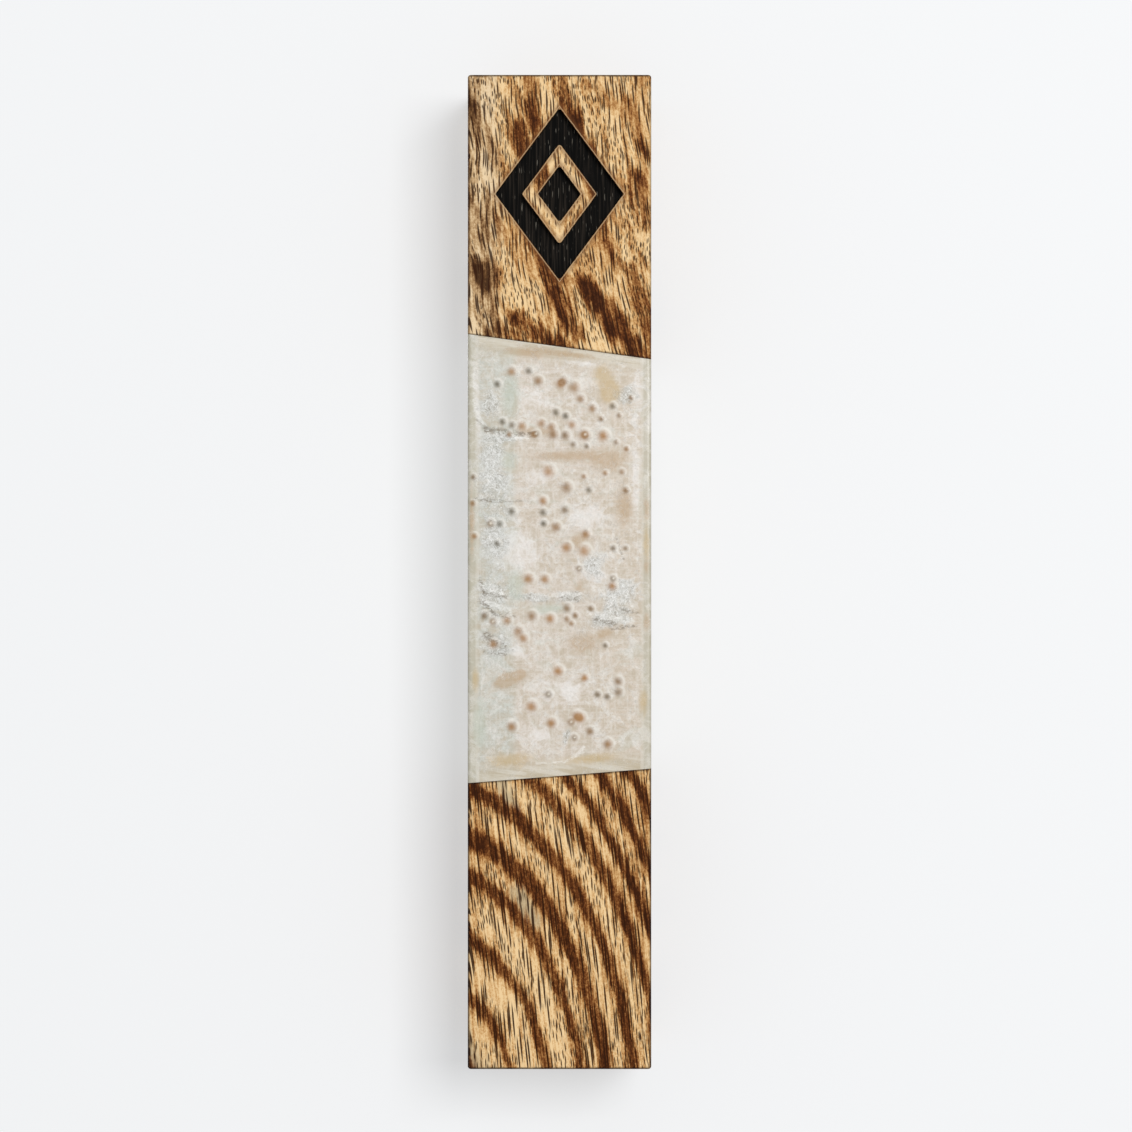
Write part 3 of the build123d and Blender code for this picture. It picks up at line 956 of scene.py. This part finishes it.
def parchment():
    """Dry cream skin with faint mottling and a few darker follicle marks."""
    b = Bench("parchment_dry")
    mottle = b.cloudy(0.4, 0.4, 0.25, detail=5.0, roughness=0.65)
    grain = b.cloudy(4.0, 4.0, 3.0, detail=3.0)
    colour = b.blend(b.ease(mottle, 0.35, 0.68), tone(232, 216, 178), tone(206, 180, 132))
    colour = b.blend(b.ease(grain, 0.58, 0.7) * 0.4, colour, tone(176, 146, 100))
    return b.finish(colour, mottle * 0.2 + 0.6, grain, 0.02)


def clear_film():
    """Thin clear film with faint haze where it has been handled."""
    b = Bench("clear_film")
    haze = b.cloudy(0.3, 0.3, 0.12, detail=4.0)
    colour = b.blend(haze, tone(240, 244, 246), tone(226, 232, 236))
    return b.finish(colour, haze * 0.15 + 0.08, haze, 0.01, Alpha=0.1)


def closed_cell_foam():
    """White tape foam, with the small closed cells that show on its cut sides."""
    b = Bench("closed_cell_foam")
    bubble = b.cells(b.point(b.x * 4.2, b.y * 4.2, b.z * 4.2))
    shade = b.noise(b.place, 0.7, detail=3.0)
    colour = b.blend(b.ease(bubble, 0.1, 0.5), tone(196, 194, 186), tone(234, 232, 225))
    colour = b.blend(shade * 0.4, colour, tone(214, 210, 198))
    return b.finish(colour, shade * 0.1 + 0.82, bubble, 0.06)


def release_paper():
    """Waxed red release paper with a fine tooth and faint creases."""
    b = Bench("release_paper")
    tooth = b.cloudy(3.0, 3.0, 3.0, detail=3.0)
    crease = b.cloudy(0.3, 1.0, 0.9, detail=2.0, distortion=0.6)
    colour = b.blend(b.ease(tooth, 0.4, 0.65), tone(186, 58, 44), tone(166, 44, 36))
    colour = b.blend(b.ease(crease, 0.6, 0.72) * 0.4, colour, tone(208, 96, 78))
    return b.finish(colour, tooth * 0.2 + 0.34, crease + tooth * 0.2, 0.03, Coat_Weight=0.2)


def foam_strip(hand, material):
    """A strip of foam tape, squeezed between the bar and its liner so that its cut sides belly out.

    Its section is a superellipse, |x/a|^n + |y/b|^n = 1 with n = 5, and its ends draw in over the last
    half millimetre as a quarter of the same curve.
    """
    low, high = (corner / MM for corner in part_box(f"foam_strip_{hand}"))
    middle, half = (low + high) / 2, (high - low) / 2
    power, end_round = 5.0, 0.5
    angle = np.linspace(0, 2 * np.pi, 49)[:-1]
    def flattened(wave):
        return np.sign(wave) * np.abs(wave) ** (2 / power)
    straight = half.z - end_round
    end = end_round * np.sin(np.linspace(0.04, np.pi / 2, 9))
    z = np.concatenate([-straight - end[::-1], np.linspace(-straight, straight, 122)[1:-1], straight + end])
    inward = np.clip((np.abs(z) - straight) / end_round, 0, 1)
    draw = (1 - inward**power) ** (1 / power)
    ripple = 1 - 0.012 * (1 + np.sin(z * 0.9 + 1.0) * np.cos(z * 0.37))
    x = middle.x + half.x * np.outer(draw * ripple, flattened(np.cos(angle)))
    y = middle.y + half.y * np.outer(draw, flattened(np.sin(angle)))
    points = np.stack([x, y, np.broadcast_to(middle.z + z[:, None], x.shape)], -1).reshape(-1, 3)
    made = piece(f"foam_tape_{hand}", points, tube_faces(len(angle), len(z)), "case", material)
    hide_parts(f"foam_strip_{hand}")


def liner_strip(hand, material):
    """A strip of release paper on the foam, with a free tab at its foot.

    The tab leans off towards the bar as the square of the distance past the foam, and its two corners are
    quarter circles.
    """
    low, high = (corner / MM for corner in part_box(f"strip_liner_{hand}"))
    foam_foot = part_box(f"foam_strip_{hand}")[0].z / MM
    thickness = (high.y - low.y) * 0.9
    corner, lean_rate, curl_rate = 0.7, 0.06, 0.012
    rounded = corner * (1 - np.cos(np.linspace(0, np.pi / 2, 9)[:-1]))
    z = np.concatenate([low.z + rounded, np.linspace(low.z + corner, high.z, 150)])
    missing = np.clip(1 - (z - low.z) / corner, 0, 1)
    half = (high.x - low.x) / 2 - corner * (1 - np.sqrt(1 - missing**2))
    share = np.linspace(-1, 1, 11)
    x = (low.x + high.x) / 2 + np.outer(half, share)
    past = np.clip(foam_foot - z, 0, None)
    lean = lean_rate * past**2
    curl = curl_rate * past[:, None] * share**2
    y = (low.y + high.y) / 2 - lean[:, None] - curl
    surface = np.stack([x, y, np.broadcast_to(z[:, None], x.shape)], -1)
    points, faces = thin_sheet(surface, thickness)
    made = piece(f"release_liner_{hand}", points, faces, "case", material)
    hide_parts(f"strip_liner_{hand}")


def rolled_scroll(material):
    """The parchment, rolled up: a spiral whose radius grows with its angle, the last flap a little loose.

    Each turn slips along the roll by a slow wave of the angle, so that the ends of the roll aren't flat.
    """
    low, high = (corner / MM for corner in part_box("parchment_scroll"))
    axis_x, axis_y = (low.x + high.x) / 2, low.y + (high.x - low.x) / 2
    outer, core, thickness, turns = (high.x - low.x) / 2 - 0.12, 1.9, 0.2, 4.6
    end_margin = 0.25
    angle = np.linspace(0, turns * 2 * np.pi, 190)
    share = angle / angle[-1]
    z = np.linspace(low.z + end_margin, high.z - end_margin, 70)
    slip = 0.16 * np.sin(angle * 0.63) + 0.07 * np.sin(angle * 1.9)
    loose = 0.1 * np.clip(share - 0.9, 0, None) / 0.1
    breathing = 0.03 * np.sin(z * 0.21)[:, None] * np.sin(angle * 0.5)
    radius = core + (outer - core - 0.1) * share + loose + breathing
    x = axis_x + radius * np.cos(angle)
    y = axis_y + radius * np.sin(angle)
    surface = np.stack([x, y, z[:, None] + np.broadcast_to(slip, x.shape)], -1)
    points, faces = thin_sheet(surface, thickness)
    made = piece("rolled_parchment", points, faces, "scroll", material)
    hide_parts("parchment_scroll")


def film_tube(material):
    """The clear sleeve: film wound a little over once round the scroll, its loose edge lying on itself.

    The radius grows by the film's step over the first whole turn, and faint dents are a wave along the tube
    times a wave round it.
    """
    low, high = (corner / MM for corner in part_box("scroll_sleeve"))
    axis_x, axis_y = (low.x + high.x) / 2, (low.y + high.y) / 2
    thickness, overlap, step_in, dent_depth = 0.06, 0.9, 0.1, 0.012
    outer = (high.x - low.x) / 2 - thickness
    angle = np.linspace(0, 2 * np.pi + overlap, 90) + 0.7
    lapped = np.clip((angle - angle[0]) / (2 * np.pi), 0, 1)
    z = np.linspace(low.z, high.z, 60)
    dent = dent_depth * (1 + np.sin(z * 0.17)[:, None] * np.sin(angle * 2.0))
    radius = outer - step_in * (1 - lapped) - dent
    x = axis_x + radius * np.cos(angle)
    y = axis_y + radius * np.sin(angle)
    surface = np.stack([x, y, np.broadcast_to(z[:, None], radius.shape)], -1)
    points, faces = thin_sheet(surface, thickness)
    made = piece("film_sleeve", points, faces, "scroll", material)
    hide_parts("scroll_sleeve")


def paint(node, material):
    """Gives a CAD node its finish."""
    target = nodes[node]
    target.data.materials.clear()
    target.data.materials.append(material)


# ---------------------------------------------------------------- stage

def backdrop():
    """The pale surface behind the case. It is clear from its own back, so the case's back can be seen too."""
    b = Bench("pale_surface")
    pale = tone(247, 248, 249)
    matt = b.node("ShaderNodeBsdfDiffuse", inputs={"Color": pale})
    glow = b.node("ShaderNodeEmission", inputs={"Color": pale, "Strength": 1.0})
    lit = b.node("ShaderNodeMixShader", inputs={0: 0.5, 1: matt.outputs[0], 2: glow.outputs[0]})
    clear = b.node("ShaderNodeBsdfTransparent")
    behind = b.node("ShaderNodeNewGeometry").outputs["Backfacing"]
    mixed = b.node("ShaderNodeMixShader", inputs={0: behind, 1: lit.outputs[0], 2: clear.outputs[0]})
    b.node("ShaderNodeOutputMaterial", inputs={"Surface": mixed.outputs[0]})
    reach, level = 3.0, 0.0003
    mesh = bpy.data.meshes.new("pale_surface")
    corners = [(-reach, level, -reach), (reach, level, -reach), (reach, level, reach), (-reach, level, reach)]
    mesh.from_pydata(corners, [], [(0, 1, 2, 3)])
    mesh.materials.append(b.material)
    surface = bpy.data.objects.new("pale_surface", mesh)
    scene.collection.objects.link(surface)
    surface.visible_shadow = False
    surface.visible_diffuse = False
    surface.visible_glossy = False


def soft_box(name, place, size, power):
    """A square soft light at a place, turned to face the middle of the case."""
    data = bpy.data.lights.new(name, "AREA")
    data.shape = "SQUARE"
    data.size = size
    data.energy = power
    lamp = bpy.data.objects.new(name, data)
    scene.collection.objects.link(lamp)
    lamp.location = place
    middle = (cad_box[0] + cad_box[1]) / 2
    lamp.rotation_euler = (middle - lamp.location).to_track_quat("-Z", "Y").to_euler()


def lighting():
    """One large soft light in front to the upper right, one behind to the left, and an even pale surround.

    A camera sees the surround's own pale tone, while the case is lit by a dimmer one.
    """
    soft_box("key_light", (0.33, -1.0, 0.24), 0.44, 6.8)
    soft_box("back_light", (-0.5, 1.0, 0.4), 0.6, 6.0)
    world = bpy.data.worlds.new("pale_surround")
    world.use_nodes = True
    tree = world.node_tree
    surround = tree.nodes["Background"]
    surround.inputs["Color"].default_value = (0.975, 0.985, 1.0, 1.0)
    surround.inputs["Strength"].default_value = 0.45
    seen = tree.nodes.new("ShaderNodeBackground")
    seen.inputs["Color"].default_value = tone(243, 244, 246)
    seen.inputs["Strength"].default_value = 1.0
    straight = tree.nodes.new("ShaderNodeLightPath")
    either = tree.nodes.new("ShaderNodeMixShader")
    tree.links.new(straight.outputs["Is Camera Ray"], either.inputs[0])
    tree.links.new(surround.outputs[0], either.inputs[1])
    tree.links.new(seen.outputs[0], either.inputs[2])
    tree.links.new(either.outputs[0], tree.nodes["World Output"].inputs["Surface"])
    scene.world = world
    scene.view_settings.view_transform = "Standard"


def camera():
    """A long lens square to the front face, a touch to the right of the case's middle and above it."""
    data = bpy.data.cameras.new("camera")
    data.lens = 100.0
    data.sensor_width = 36.0
    view = bpy.data.objects.new("camera", data)
    scene.collection.objects.link(view)
    seen_width, aim_x, aim_z = 0.1479, 0.00085, 0.00078
    distance = seen_width * data.lens / data.sensor_width
    view.location = (aim_x, front_y * MM - distance, aim_z)
    view.rotation_euler = (math.pi / 2, 0.0, 0.0)
    scene.camera = view


camera()
lighting()
backdrop()
paint("upper_wood_block", upper_wood())
paint("lower_wood_block", lower_wood())
paint("back_slat", slat_wood())
resin_block(pearl_resin())
rolled_scroll(parchment())
film_tube(clear_film())
foam, liner = closed_cell_foam(), release_paper()
for hand in ("left", "right"):
    foam_strip(hand, foam)
    liner_strip(hand, liner)
